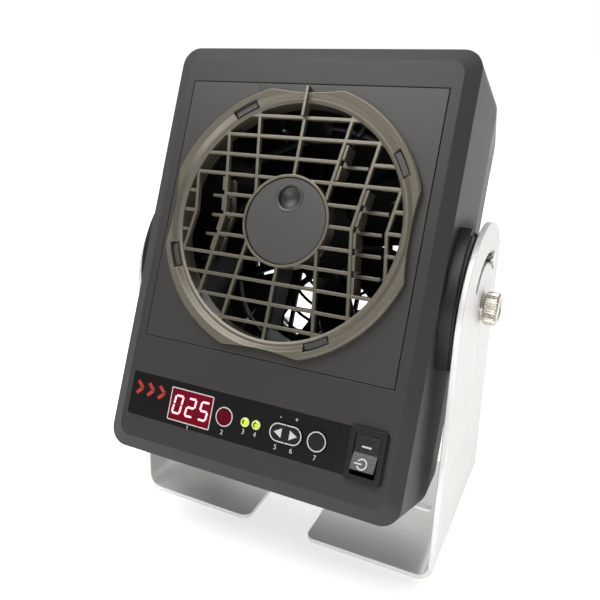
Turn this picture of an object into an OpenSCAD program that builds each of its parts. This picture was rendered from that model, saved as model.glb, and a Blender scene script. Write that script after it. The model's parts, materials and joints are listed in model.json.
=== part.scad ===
// Bench-top ionizing blower: a fan head with eight emitter pins, a bayonet guard
// with a pin-cleaning dial, a control strip, and a bent-sheet stand that it tilts in.
// Frame: X to the right, Y to the back, Z up; the origin is on the floor, under the tilt axis.

/* [Stand] */
// Width over both arms
stand_w = 168; // [160:1:190]
// Thickness of the stand's sheet
sheet_t = 2.5; // [2:0.1:3]
// Outer radius of the bends between the base and the arms
bend_r = 9; // [6:0.5:14]
// Height of the tilt axis above the floor
pivot_h = 120.6; // [118:0.1:140]
// How far the feet reach in front of the tilt axis
foot_front = 59; // [50:1:75]
// How far the base reaches behind the tilt axis
foot_back = 33; // [25:1:50]
// Radius of the rounded end of an arm
arm_end_r = 45; // [40:1:50]
// How far in front of the tilt axis the rounded end is centred
arm_end_lead = 3; // [0:0.5:6]
// How far below the tilt axis the rounded end is centred
arm_end_drop = 3.5; // [0:0.5:8]
// Width of the notch between the two feet
notch_w = 34; // [25:1:60]
// How far in front of the tilt axis the cross strip behind the notch begins
strip_front = 8; // [2:1:15]
// Radius of the corners of the feet and the notch
foot_corner_r = 5; // [2:0.5:8]
// Distance between the two bench-fixing slots
slot_pitch = 131; // [110:1:134]
// Length of a bench-fixing slot, end to end
slot_len = 10; // [6:0.5:14]
// Width of a bench-fixing slot
slot_w = 4.5; // [4:0.1:6]
// How far in front of the tilt axis the slots are
slot_lead = 11; // [9:0.5:20]

/* [Tilt joint] */
// How far the head leans back at rest
head_tilt = 26.3; // [0:0.1:45]
// Radius of the arc that the guide pins run on
guide_r = 24; // [20:0.5:30]
// Radius of a guide pin
guide_pin_r = 2; // [1.5:0.1:2.5]
// Clearance each side of a guide pin in its slot
guide_gap = 0.3; // [0.2:0.05:0.5]
// Lean in front of upright at the end of the slot
lean_forward = 50; // [30:1:50]
// Lean behind upright at the end of the slot
lean_back = 50; // [46:1:55]
// Radius of the thumb screw's thread
thread_r = 2.5; // [2:0.1:3]
// Radius of the thumb screw's knurled head
knob_r = 8; // [6.5:0.5:10]
// Length of the thumb screw's knurled head
knob_len = 6.6; // [5:0.2:10]
// Radius of the black side hub
hub_r = 50; // [45:1:52]
// Height of the side hub above the tilt axis
hub_above = 30; // [28:1:40]
// Depth of the side hub below the tilt axis
hub_below = 32; // [20:1:40]

/* [Head] */
// Width of the head
head_w = 150; // [146:1:154]
// Height of the head above the tilt axis
head_above = 102.4; // [98:0.2:106]
// Depth of the head below the tilt axis
head_below = 99.5; // [97:0.5:100]
// Depth of the head, front to back
head_d = 83; // [80:1:92]
// Distance of the tilt axis behind the front face
pivot_depth = 56.3; // [53:0.1:58]
// Wall of the two shells
shell_t = 2.5; // [2:0.1:3]
// Thickness of the front face
face_t = 3; // [2.5:0.1:3.5]
// Radius of the head's upright corners
corner_r = 9; // [7:0.5:12]
// Width of the bevel round the front face
bevel_w = 6.4; // [3:0.2:8]
// Set-back of the bevel round the front face
bevel_d = 3; // [1.5:0.1:4]
// Depth of the seam between the front shell and the rear shell
seam_depth = 51; // [46:0.5:51]
// How much the rear shell narrows on each side
rear_narrow = 3; // [1:0.5:4]
// How much the top of the rear shell slopes down
rear_drop = 7.5; // [4:0.5:9]
// How much the bottom of the rear shell slopes up
rear_lift = 4; // [2:0.5:6]

/* [Fan panel and guard] */
// Height of the fan axis above the tilt axis
fan_up = 20.6; // [19:0.2:21]
// Side of the square fan panel
panel_w = 128; // [127:0.5:130]
// Groove round the fan panel
panel_gap = 0.4; // [0.2:0.1:0.6]
// Outer radius of the guard ring
ring_r = 63.4; // [62.5:0.1:63.6]
// Width of the guard ring's band
ring_band = 8.7; // [8.5:0.1:10]
// How far a flat is cut into the ring, at its middle
flat_cut = 4.5; // [3.4:0.1:5]
// Half the width of a flat
flat_half = 19.6; // [15:0.2:22]
// Height of the ring above the panel
ring_h = 3.6; // [2.5:0.1:4.5]
// Width of a guard bar
bar_w = 1.5; // [1.2:0.1:2]
// Pitch of the level bars
row_pitch = 9.6; // [9:0.1:10]
// Pitch of the chevron bars at the middle of the guard
chevron_pitch = 16.1; // [15:0.1:16.4]
// Lean of the chevron bars, sideways per unit of height
chevron_lean = 0.15; // [0:0.01:0.2]
// Unlocking turn of the guard
unlock_turn = 22.5; // [18:0.5:24]
// Radius of the pin-cleaning dial
dial_r = 20; // [18:0.5:21]
// Radius of the dial's finger hole
finger_r = 5.4; // [4.5:0.1:6]
// Distance of the finger hole from the dial's axis
finger_out = 10.9; // [10:0.1:11.5]

/* [Fan and emitter] */
// Side of the square fan frame
fan_w = 119.5; // [118:0.5:120]
// Depth of the fan frame
fan_t = 25.4; // [25:0.1:26]
// Depth of the fan's front behind the front face
fan_depth = 40; // [38:0.5:42]
// Distance of the fan's fixing holes from the sides of its frame
fan_hole_inset = 7.25; // [7:0.05:7.5]
// Wall of the fan frame where its bore comes nearest to a side
fan_wall = 2.15; // [2:0.05:2.5]
// Running gap outside the blade tips
tip_gap = 1; // [0.8:0.1:1.5]
// Radius of the fan's hub
fan_hub_r = 20; // [18:0.5:22]
// Number of fan blades
blades = 7; // [5:1:9]
// Turn of a blade from front to back
blade_twist = 42; // [30:1:48]
// Number of emitter pins
pins = 8; // [6:1:8]
// How far the pins stand in from the emitter ring
pin_reach = 13; // [11:0.5:15]

/* [Controls] */
// Height of the control strip's middle below the tilt axis
strip_drop = 72.2; // [71:0.1:73]
// Width of the control strip
strip_w = 131.6; // [131:0.2:133]
// Height of the control strip
strip_h = 21; // [20.4:0.2:21.6]
// Thickness of the control strip
strip_t = 1.2; // [0.8:0.1:1.5]
// Gap round each window, lens and key
key_gap = 0.25; // [0.2:0.05:0.4]
// Travel of a key
key_travel = 0.6; // [0.4:0.1:0.6]
// Swing of the power rocker from end to end
rocker_swing = 18; // [14:1:20]

/* [Hidden] */

$fn = 96;
hull_fn = 32;
e = 0.01;      // overlap of a cut past the face that it opens
fit = 0.05;    // radial clearance of a shaft, screw or pin in its hole
loose = 0.3;   // clearance between pieces that move past each other

// Finishes
satin_steel = [0.80, 0.80, 0.79];
nickel = [0.72, 0.70, 0.66];
steel = [0.60, 0.60, 0.62];
brass = [0.78, 0.62, 0.32];
copper = [0.72, 0.42, 0.24];
housing_grey = [0.27, 0.26, 0.26];
panel_grey = [0.29, 0.28, 0.27];
guard_grey = [0.47, 0.45, 0.41];
dial_grey = [0.30, 0.30, 0.29];
black = [0.05, 0.05, 0.05];
bristle_white = [0.88, 0.87, 0.82];
board_green = [0.10, 0.30, 0.16];
display_red = [0.28, 0.02, 0.03];
lens_green = [0.75, 0.85, 0.15];
lead_red = [0.70, 0.10, 0.08];

// Stand
arm_x = stand_w / 2;
arm_in = arm_x - sheet_t;
slit_len = 5;
slit_w = 1.2;

// Tilt joint: what lies between the head's side and the arm
side_x = head_w / 2;
washer_t = 0.4;
hub_out = arm_in - washer_t - 0.1;
insert_r = thread_r + 1;
insert_in = side_x - 4;
knob_base = arm_x + 0.1;
knob_collar = 1.4;
guide_head_r = guide_pin_r + 1.4;
hub_screw_r = 1.5;
hub_screw_spots = [[-38, 14], [-38, -16], [-12, -25]];
hub_rear = head_d - pivot_depth - 5;

// Shells
head_h = head_above + head_below;
head_mid = (head_above - head_below) / 2;
boss_r = 4;
case_screw_r = 1.5;
case_x = head_w / 2 - 10.5;
case_spots = [[case_x, head_above - 12], [-case_x, head_above - 12],
    [case_x, 11.5 - head_below], [-case_x, 11.5 - head_below]];
tongue_t = 1.5;
tongue_gap = 0.15;

// Panel and guard
panel_ledge = 2.5;
ring_in = ring_r - ring_band;
flat_r = ring_r - flat_cut;
seat_r = ring_in + 1.5;
spigot_r = seat_r - loose;
collar_r = seat_r + 1.8;
collar_wall = 2;
collar_back = 9;
lug_half = 7;
lug_front = face_t + loose;
lug_t = 2;
lug_at = 20;
bar_front = -0.6;
bar_back = 1.8;
web_back = 9;
rod_t = 2;
rib_w = 1.4;
pocket_spots = [31, 121, 203, 297];
pocket_half = 6.2;
pocket_floor = 1.4;
rows = [for (i = [-5:5]) i * row_pitch];
hub_plate_front = 5;
hub_plate_back = 7;
dial_front = -0.8;
dial_back = hub_plate_front - loose;
neck_r = 6;
rim_in = dial_r + loose;
rim_w = 1.2;

// Brush, emitter and fan
arm_front = web_back + 1;
arm_back = arm_front + 2;
pin_depth = 20;
needle_r = 0.5;
holder_r = 2;
fan_bore_r = fan_w / 2 - fan_wall;
fan_pitch = fan_w - 2 * fan_hole_inset;
emitter_in = fan_bore_r - 0.6;
emitter_wall = 4;
pin_tip_r = emitter_in - pin_reach;
fan_back = fan_depth + fan_t;
strut_t = 3;
rotor_front = fan_depth + 2;
rotor_back = fan_back - strut_t - 0.9;
blade_tip_r = fan_bore_r - tip_gap;
shaft_r = 1.5;
bearing_r = 3;
tube_r = 4.5;
fan_screw_r = 2;
rear_guard_t = 2.5;
rear_open_r = fan_bore_r;

// Controls, measured from the fan axis sideways and from the tilt axis in height
display_at = [-30.8, -72.6];
display_size = [22.8, 14.8];
ir_at = [-12.2, -72.4];
ir_r = 4.1;
led_spots = [[-1.2, -72.3], [4.5, -72.2]];
led_r = 2.1;
keys_at = [19.7, -72.5];
keys_size = [15.8, 8.5];
clean_at = [34.6, -72.1];
clean_r = 4.5;
switch_at = [57.2, -72.3];
switch_bezel = [15.8, 22.6];
switch_body = [13, 19.4];
switch_pocket = [11.2, 17.4];
rocker_w = 10.6;
rocker_half = 7.3;
rocker_depth = 4;
board_front = 11;
board_t = 1.6;
key_flange_front = face_t + 0.2;
key_stem_back = 7.8;
tact_front = key_stem_back + key_travel + 0.2;
board_mid = [-1.5, -72.5];
board_size = [92, 37];
board_spots = [for (x = [-1, 1], y = [-1, 1]) board_mid + [x * (board_size[0] / 2 - 3.5), y * (board_size[1] / 2 - 3)]];
board_screw_r = 1.2;

// Lower part of the head
floor_v = shell_t - head_below;
hv_size = [54, 32, 33];
power_size = [56, 33];
power_lift = 6;
power_at = [2, 15.5];
transformer_size = [22, 22, 18];
capacitor_r = 5;
capacitor_h = 15;
terminal_size = [20, 10, 12];
inlet_at = [-38, -74];
inlet_flange = [31, 24];
inlet_body = [27.4, 20.4];
inlet_socket = [24.4, 16.8];
inlet_wall_t = 1.6;
ground_at = [38, -76];

// ---- frames and outlines ----

// The head leans back about the tilt axis
module tilted() {
    translate([0, 0, pivot_h]) rotate([-head_tilt, 0, 0]) children();
}

// An outline in the plane of the front face, as a plate between two depths behind it
module slab(front, back) {
    translate([0, back - pivot_depth, 0]) rotate([90, 0, 0]) linear_extrude(back - front) children();
}

// The fan axis; local +Z points out of the front face, and z = -depth
module on_fan_axis(depth = 0) {
    translate([0, depth - pivot_depth, fan_up]) rotate([90, 0, 0]) children();
}

// A point on the front face, with +Z out of it
module on_face(at, depth = 0) {
    translate([at[0], depth - pivot_depth, at[1]]) rotate([90, 0, 0]) children();
}

// A round post or hole straight into the head between two depths
module post(at, r, front, back) {
    on_face(at, back) cylinder(r = r, h = back - front);
}

// A shape about the tilt axis on one side: outline in Y and Z, between two distances from the middle
module side_plate(inner, outer) {
    translate([inner, 0, 0]) rotate([90, 0, 90]) linear_extrude(outer - inner) children();
}

module side_post(at, r, inner, outer) {
    translate([inner, at[0], at[1]]) rotate([0, 90, 0]) cylinder(r = r, h = outer - inner);
}

module both_sides() {
    children();
    mirror([1, 0, 0]) children();
}

module rounded_rect(w, h, r) {
    square([w - 2 * r, h], center = true);
    square([w, h - 2 * r], center = true);
    for (x = [-1, 1], y = [-1, 1]) translate([x * (w / 2 - r), y * (h / 2 - r)]) circle(r);
}

module head_outline(inset = 0) {
    translate([0, head_mid]) rounded_rect(head_w - 2 * inset, head_h - 2 * inset, corner_r - inset / 2);
}

module rear_outline(inset = 0) {
    translate([0, head_mid + (rear_lift - rear_drop) / 2])
        rounded_rect(head_w - 2 * (rear_narrow + inset), head_h - rear_drop - rear_lift - 2 * inset,
            corner_r - inset / 2);
}

// A slice of a disc between two angles, both less than half a turn apart
module wedge(r, from, to) {
    polygon([[0, 0], for (i = [0:4]) let (a = from + (to - from) * i / 4) 1.2 * r * [cos(a), sin(a)]]);
}

module arc_band(inner, outer, from, to) {
    intersection() {
        difference() {
            circle(outer);
            circle(inner);
        }
        wedge(outer, from, to);
    }
}

// ---- stand ----

function tangent(p, c, r, side) =
    let (d = norm(p - c), turn = side * acos(r / d), to = atan2(p[1] - c[1], p[0] - c[0]))
    c + r * [cos(to + turn), sin(to + turn)];

arm_end = [-arm_end_lead, pivot_h - arm_end_drop];

module arm_outline() {
    front = [-foot_front, 0];
    back = [foot_back, 0];
    polygon([front, back, tangent(back, arm_end, arm_end_r, 1), arm_end,
        tangent(front, arm_end, arm_end_r, -1)]);
    translate(arm_end) circle(arm_end_r);
}

// The bent sheet seen from the front, taller than the arms
module u_profile() {
    tall = pivot_h + arm_end_r;
    translate([0, tall]) difference() {
        rounded_rect(stand_w, 2 * tall, bend_r);
        rounded_rect(2 * arm_in, 2 * (tall - sheet_t), bend_r - sheet_t);
    }
}

module foot_notch() {
    back = -strip_front;
    front = -foot_front;
    translate([0, back - foot_corner_r]) difference() {
        square([notch_w, 2 * foot_corner_r], center = true);
        for (s = [-1, 1]) translate([s * notch_w / 2, foot_corner_r]) rotate(s > 0 ? 180 : 270)
            inner_corner(foot_corner_r);
    }
    translate([0, (front + back - foot_corner_r) / 2 - 1])
        square([notch_w, back - foot_corner_r - front + 2], center = true);
    for (s = [-1, 1]) translate([s * notch_w / 2, front]) rotate(s > 0 ? 0 : 90)
        inner_corner(foot_corner_r);
}

// What a rounded corner of radius r takes off a square corner at the origin
module inner_corner(r) {
    difference() {
        translate([-e, -e]) square(r + e);
        translate([r, r]) circle(r);
    }
}

module slot_shape(len, w) {
    square([len - w, w], center = true);
    for (s = [-1, 1]) translate([s * (len - w) / 2, 0]) circle(w / 2);
}

slot_ends = [90 - lean_back, 90 + lean_forward];
slot_half = guide_pin_r + guide_gap;

// What is cut through an arm about the tilt axis: the screw's hole, the guide pin's arc slot and two slits
module arm_cuts() {
    side_post([0, 0], thread_r + 0.2, arm_in - 1, arm_x + 1);
    side_plate(arm_in - 1, arm_x + 1)
        arc_band(guide_r - slot_half, guide_r + slot_half, slot_ends[0], slot_ends[1]);
    for (a = slot_ends) side_post(guide_r * [cos(a), sin(a)], slot_half, arm_in - 1, arm_x + 1);
    side_plate(arm_in - 1, arm_x + 1)
        for (z = [-13, -guide_r]) translate([0, z]) square([slit_w, slit_len], center = true);
}

module stand() color(satin_steel) difference() {
    intersection() {
        translate([0, foot_back, 0]) rotate([90, 0, 0])
            linear_extrude(foot_back + foot_front) u_profile();
        translate([-arm_x - 1, 0, 0]) rotate([90, 0, 90])
            linear_extrude(stand_w + 2) arm_outline();
    }
    translate([0, 0, -1]) linear_extrude(sheet_t + 2) {
        foot_notch();
        for (s = [-1, 1]) translate([s * slot_pitch / 2, -slot_lead]) slot_shape(slot_len, slot_w);
    }
    both_sides() translate([0, 0, pivot_h]) arm_cuts();
}

// ---- tilt joint ----

module thumb_screw() {
    collar_out = knob_base + knob_collar;
    translate([0, 0, pivot_h]) rotate([0, 90, 0]) rotate_extrude() polygon([
        [0, insert_in + 1], [thread_r - 0.4, insert_in + 1], [thread_r, insert_in + 1.6],
        [thread_r, knob_base], [knob_r - 1.6, knob_base], [knob_r - 1.6, collar_out - 0.4],
        [knob_r - 0.6, collar_out], [knob_r, collar_out + 0.6], [knob_r, collar_out + knob_len - 0.6],
        [knob_r - 0.6, collar_out + knob_len], [knob_r - 2.2, collar_out + knob_len],
        [knob_r - 2.6, collar_out + knob_len - 0.5], [0, collar_out + knob_len - 0.5]]);
}

module thumb_screw_right() color(nickel) thumb_screw();
module thumb_screw_left() color(nickel) mirror([1, 0, 0]) thumb_screw();

module hub_outline() {
    intersection() {
        circle(hub_r);
        translate([hub_rear - 2 * hub_r, -hub_below]) square([2 * hub_r, hub_above + hub_below]);
    }
}

module side_hub() {
    difference() {
        union() {
            side_plate(side_x, hub_out - 0.8) hub_outline();
            side_plate(side_x, hub_out) intersection() {
                hub_outline();
                circle(hub_r - 2);
                translate([0, -hub_below]) square([4 * hub_r, 2 * (hub_above + hub_below - 3)], center = true);
            }
        }
        side_post([0, 0], insert_r + fit, side_x - 1, hub_out + 1);
        side_post([0, guide_r], guide_pin_r + fit, side_x - 1, hub_out + 1);
        for (at = hub_screw_spots) {
            side_post(at, hub_screw_r + fit, side_x - 1, hub_out + 1);
            side_post(at, 2 * hub_screw_r + fit, hub_out - 2, hub_out + 1);
        }
    }
}

module side_hub_right() color(black) tilted() side_hub();
module side_hub_left() color(black) tilted() mirror([1, 0, 0]) side_hub();

module hub_screws() color(steel) tilted() both_sides() for (at = hub_screw_spots) {
    side_post(at, hub_screw_r, side_x - shell_t - 3, hub_out - 2 + e);
    side_post(at, 2 * hub_screw_r, hub_out - 2, hub_out - 0.4);
}

module pivot_inserts() color(brass) tilted() both_sides() difference() {
    side_post([0, 0], insert_r, insert_in, hub_out);
    side_post([0, 0], thread_r + fit, insert_in - 1, hub_out + 1);
}

module friction_washers() color(black) tilted() both_sides() difference() {
    side_post([0, 0], knob_r + 3, hub_out, hub_out + washer_t);
    side_post([0, 0], thread_r + 0.3, hub_out - 1, hub_out + 1);
}

module guide_pins() color(nickel) tilted() both_sides() {
    side_post([0, guide_r], guide_pin_r, side_x + e, arm_x + 0.3);
    side_post([0, guide_r], guide_head_r, arm_x + loose, arm_x + 1.5);
}

// ---- shells ----

module control_openings() {
    translate(display_at) square(display_size + 2 * [key_gap, key_gap], center = true);
    translate(ir_at) circle(ir_r + key_gap);
    for (at = led_spots) translate(at) circle(led_r + key_gap);
    translate(keys_at) rounded_rect(keys_size[0] + 2 * key_gap, keys_size[1] + 2 * key_gap,
        keys_size[1] / 2 + key_gap - e);
    translate(clean_at) circle(clean_r + key_gap);
    translate(switch_at) square(switch_body + 2 * [key_gap, key_gap], center = true);
}

module panel_square(inset) {
    translate([0, fan_up]) square(panel_w - 2 * inset, center = true);
}

module strip_outline(grow) {
    translate([0, -strip_drop]) rounded_rect(strip_w + 2 * grow, strip_h + 2 * grow, 1.2);
}

module front_housing() color(housing_grey) tilted() difference() {
    union() {
        difference() {
            hull() {
                slab(0, e) head_outline(bevel_w, $fn = hull_fn);
                slab(bevel_d, seam_depth) head_outline($fn = hull_fn);
            }
            slab(face_t, seam_depth + 1) head_outline(shell_t);
        }
        slab(face_t - e, face_t + 2) difference() {
            panel_square(-2);
            panel_square(panel_ledge);
        }
        for (at = case_spots) post(at, boss_r, face_t - e, seam_depth);
        for (at = board_spots) post(at, 2.5, face_t - e, board_front);
        for (x = [8, power_size[0] - 4], d = [20, 44])
            translate([x, d - pivot_depth, floor_v - e]) cylinder(r = 2.5, h = power_lift + e);
    }
    slab(-1, face_t + 1) {
        panel_square(0);
        control_openings();
    }
    slab(-1, strip_t) strip_outline(0.1);
    for (at = case_spots) post(at, case_screw_r + fit, seam_depth - 12, seam_depth + 1);
    for (at = board_spots) post(at, board_screw_r + fit, board_front - 6, board_front + 1);
    both_sides() for (at = hub_screw_spots)
        side_post(at, hub_screw_r + fit, side_x - shell_t - 4, side_x + 1);
}

module rear_shell(inset, from, to) {
    hull() {
        slab(from, from + e) head_outline(inset, $fn = hull_fn);
        slab(to - 2.5, to - 2.5 + e) rear_outline(inset, $fn = hull_fn);
        slab(to - e, to) rear_outline(inset + 2, $fn = hull_fn);
    }
}

module rear_cover() color(housing_grey) tilted() difference() {
    union() {
        difference() {
            rear_shell(0, seam_depth, head_d);
            rear_shell(shell_t, seam_depth - e, head_d - shell_t);
        }
        slab(seam_depth - 3, seam_depth + 5) difference() {
            head_outline(shell_t + tongue_gap);
            head_outline(shell_t + tongue_gap + tongue_t);
        }
        for (at = case_spots) post(at, boss_r, seam_depth, head_d - shell_t + e);
    }
    on_fan_axis(head_d + 1) cylinder(r = rear_open_r, h = shell_t + 2);
    for (at = case_spots) {
        post(at, case_screw_r + fit, seam_depth - 1, head_d + 1);
        post(at, 2 * case_screw_r + 0.2, head_d - 1.8, head_d + 1);
    }
    for (a = [45:90:315]) on_fan_axis(head_d + 1) rotate(a) translate([rear_open_r + 2.2, 0, 0])
        cylinder(r = 1.2 + fit, h = shell_t + 2);
    slab(head_d - shell_t - 1, head_d + 1) translate(inlet_at) square(inlet_body + [0.4, 0.4], center = true);
    post(ground_at, fan_screw_r + fit, head_d - shell_t - 1, head_d + 1);
    both_sides() side_post([0, 0], insert_r + 0.1, side_x - shell_t - 5, side_x + 1);
}

module case_screws() color(steel) tilted() for (at = case_spots) {
    post(at, case_screw_r, seam_depth - 10, head_d - 1.8 + e);
    post(at, 2 * case_screw_r, head_d - 1.8, head_d - 0.2);
}

// ---- fan panel and bayonet guard ----

fan_spots = [for (x = [-1, 1], y = [-1, 1]) [x * fan_pitch / 2, fan_up + y * fan_pitch / 2]];

// The panel's round opening, with the notches that let the guard's lugs in
module panel_opening() {
    circle(seat_r);
    for (q = [0:90:270]) rotate(q + lug_at + unlock_turn)
        arc_band(seat_r - 1, collar_r - 0.1, -lug_half - 1, lug_half + 1);
}

// The collar behind the panel, with a stop at each end of every lug's way
module panel_collar() {
    difference() {
        circle(collar_r + collar_wall);
        circle(collar_r);
    }
    for (q = [0:90:270]) rotate(q + lug_at) {
        arc_band(seat_r + 0.2, collar_r + 1, -lug_half - 4, -lug_half - 0.4);
        arc_band(seat_r + 0.2, collar_r + 1, unlock_turn + lug_half + 1.4, unlock_turn + lug_half + 5);
    }
}

module fan_panel() color(panel_grey) tilted() {
    slab(0, face_t) difference() {
        panel_square(panel_gap);
        translate([0, fan_up]) panel_opening();
    }
    slab(face_t - 0.5, collar_back) translate([0, fan_up]) panel_collar();
    for (at = fan_spots) difference() {
        post(at, boss_r + 0.5, face_t - 0.5, fan_depth);
        post(at, fan_screw_r + fit, fan_depth - 12, fan_depth + 1);
    }
}

// The ring's outline: round, with four shallow hollows at top, bottom, left and right
module ring_outline() {
    chord = sqrt(ring_r * ring_r - flat_half * flat_half);
    sag = chord - flat_r;
    hollow_r = (flat_half * flat_half + sag * sag) / (2 * sag);
    difference() {
        circle(ring_r);
        for (q = [0:90:270]) rotate(q) translate([flat_r + hollow_r, 0]) circle(hollow_r);
    }
}

// Middle of chevron bar n at height v above the fan axis
function chevron(n, v) = n * chevron_pitch + chevron_lean * abs(v);

module chevron_bar(n) {
    tall = ring_in + 1;
    c = n * chevron_pitch;
    t = c + chevron_lean * tall;
    b = bar_w / 2;
    polygon([[t - b, tall], [t + b, tall], [c + b, 0], [t + b, -tall], [t - b, -tall], [c - b, 0]]);
}

// A cell row where the level bar is set back: [side, chevron, heights of the rods]
combs = [[-1, 2, [9.6, 0, -9.6]], [1, 2, [9.6, 0, -9.6, -19.2]], [1, 1, [28.8]]];
rod_len = 11;

module window_cells() {
    for (c = combs) for (v = c[2])
        translate([c[0] * (chevron(c[1], v) + chevron_pitch / 2), v])
            square([chevron_pitch - bar_w, bar_w + 1], center = true);
}

module guard_grid() {
    intersection() {
        circle(ring_in + e);
        union() {
            difference() {
                for (v = rows) translate([0, v]) square([2 * ring_in + 2, bar_w], center = true);
                window_cells();
            }
            square([bar_w, 2 * ring_in + 2], center = true);
            for (n = [1:3], s = [0, 1]) mirror([s, 0]) chevron_bar(n);
        }
    }
}

// Webs and rods of one comb, standing behind its chevron bar
module comb_web(side, n, top, bottom) {
    out = bar_w / 2;
    polygon([for (p = [[top, out], [top, out + bar_w], [bottom, out + bar_w], [bottom, out]])
        [side * (chevron(n, p[0]) + p[1] - e), p[0]]]);
}

module combs_behind() {
    for (c = combs) {
        side = c[0];
        n = c[1];
        levels = c[2];
        for (i = [0:len(levels)]) {
            top = (i == 0 ? levels[0] + row_pitch : levels[i - 1]) - bar_w;
            bottom = (i == len(levels) ? levels[i - 1] - row_pitch : levels[i]) + bar_w;
            on_fan_axis(web_back) linear_extrude(web_back - bar_front - 0.6) comb_web(side, n, top, bottom);
        }
        for (v = levels) on_fan_axis(web_back) linear_extrude(rod_t)
            translate([side * (chevron(n, v) + bar_w / 2 + rod_len / 2), v])
                square([rod_len, bar_w], center = true);
        on_fan_axis(web_back) linear_extrude(rod_t) intersection() {
            for (s = [0, 1]) mirror([s, 0]) difference() {
                chevron_bar(n);
                translate([-ring_in - 2, -ring_in - 2]) square([ring_in + 2, 2 * ring_in + 4]);
            }
            translate([side > 0 ? 0 : -ring_in, levels[len(levels) - 1] - row_pitch + bar_w])
                square([ring_in, levels[0] - levels[len(levels) - 1] + 2 * (row_pitch - bar_w)]);
        }
    }
}

module index_rib(from, to) {
    translate([0, (from + to) / 2]) square([rib_w, to - from], center = true);
}

module guard() color(guard_grey) tilted() {
    difference() {
        union() {
            intersection() {
                on_fan_axis() rotate_extrude() polygon([
                    [ring_in, -8], [spigot_r, -8], [spigot_r, 0.2], [ring_r, 0.2], [ring_r, ring_h - 1],
                    [ring_r - 0.9, ring_h], [ring_r - 4.2, ring_h - 0.5], [ring_in + 2.4, 1.4],
                    [ring_in + 1.2, 1.3], [ring_in, 0.9]]);
                on_fan_axis(10) linear_extrude(20) ring_outline();
            }
            on_fan_axis(bar_back) linear_extrude(bar_back - bar_front) guard_grid();
            on_fan_axis(lug_front + lug_t) linear_extrude(lug_t) for (q = [0:90:270]) rotate(q + lug_at)
                arc_band(spigot_r - 0.5, collar_r - loose, -lug_half, lug_half);
            on_fan_axis(hub_plate_back) cylinder(r = rim_in + rim_w, h = hub_plate_back + 1.3);
            combs_behind();
            on_fan_axis(bar_back) linear_extrude(bar_back + ring_h) index_rib(rows[len(rows) - 1], ring_in + 1);
            on_fan_axis(-0.2) linear_extrude(ring_h - 0.2) index_rib(ring_in, flat_r + 3);
        }
        on_fan_axis(hub_plate_front) cylinder(r = rim_in, h = hub_plate_front + 2);
        on_fan_axis(hub_plate_back + 1) cylinder(r = neck_r + fit, h = hub_plate_back + 2);
        for (q = pocket_spots) on_fan_axis(-pocket_floor) linear_extrude(ring_h) rotate(q)
            arc_band(ring_in + 1.7, ring_r - 3.1, -pocket_half, pocket_half);
    }
}

// ---- dial and brush ----

module dial() color(dial_grey) tilted() difference() {
    on_fan_axis() union() {
        rotate_extrude() polygon([[0, -dial_back], [dial_r, -dial_back], [dial_r, -dial_front - 0.4],
            [dial_r - 0.4, -dial_front], [0, -dial_front]]);
        translate([0, 0, -arm_back]) cylinder(r = neck_r, h = arm_back - dial_back + e);
        translate([0, finger_out, 0]) rotate_extrude()
            polygon([[finger_r, -1], [finger_r + 1.5, -1], [finger_r + 1.5, 1], [finger_r + 1, 1.3], [finger_r, 0.9]]);
    }
    on_fan_axis() translate([0, finger_out, 0]) {
        cylinder(r = finger_r, h = 3);
        intersection() {
            translate([0, 0, 3.6]) sphere(r = finger_r + 2.2);
            translate([0, 0, -dial_back]) cylinder(r = finger_r, h = 2 * dial_back);
        }
    }
    on_fan_axis(arm_back + 1) cylinder(r = board_screw_r + fit, h = 7);
}

module dial_screw() color(steel) tilted() on_fan_axis() {
    translate([0, 0, -arm_back - 1.4]) cylinder(r = neck_r + 1.6, h = 1.4);
    translate([0, 0, -arm_back - e]) cylinder(r = board_screw_r, h = 5);
}

brush_r = pin_tip_r + 3;

module brush_arm() color(black) tilted() on_fan_axis(arm_back) difference() {
    union() {
        cylinder(r = neck_r + 3.5, h = arm_back - arm_front);
        linear_extrude(arm_back - arm_front)
            polygon([[-4, -neck_r - 1], [4, -neck_r - 1], [2.6, -brush_r], [-2.6, -brush_r]]);
        translate([0, -brush_r, 0]) cylinder(r = 3, h = arm_back - arm_front);
    }
    translate([0, 0, -1]) cylinder(r = neck_r + 0.02, h = 4);
}

module brush() color(bristle_white) tilted() on_fan_axis(pin_depth - needle_r - loose)
    linear_extrude(pin_depth - needle_r - loose - arm_back) translate([0, -(brush_r - 1.6)])
        square([4.4, 6], center = true);

// ---- emitter ----

module emitter_ring() color(black) tilted() difference() {
    on_fan_axis(fan_depth) linear_extrude(fan_depth - collar_back) difference() {
        circle(emitter_in + emitter_wall);
        circle(emitter_in);
    }
    for (i = [0:pins - 1]) on_fan_axis(pin_depth) rotate((i + 0.5) * 360 / pins) rotate([0, 90, 0])
        cylinder(r = holder_r + fit, h = emitter_in + emitter_wall + 1);
}

module emitter_pins() color(brass) tilted() for (i = [0:pins - 1])
    on_fan_axis(pin_depth) rotate((i + 0.5) * 360 / pins) rotate([0, 90, 0]) rotate_extrude($fn = 32)
        polygon([[0, pin_tip_r], [needle_r, pin_tip_r + 2.5], [needle_r, pin_tip_r + 6],
            [holder_r - 0.5, pin_tip_r + 6.6], [holder_r, pin_tip_r + 7.4],
            [holder_r, emitter_in + emitter_wall - 0.5], [0, emitter_in + emitter_wall - 0.5]]);

// ---- fan ----

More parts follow.
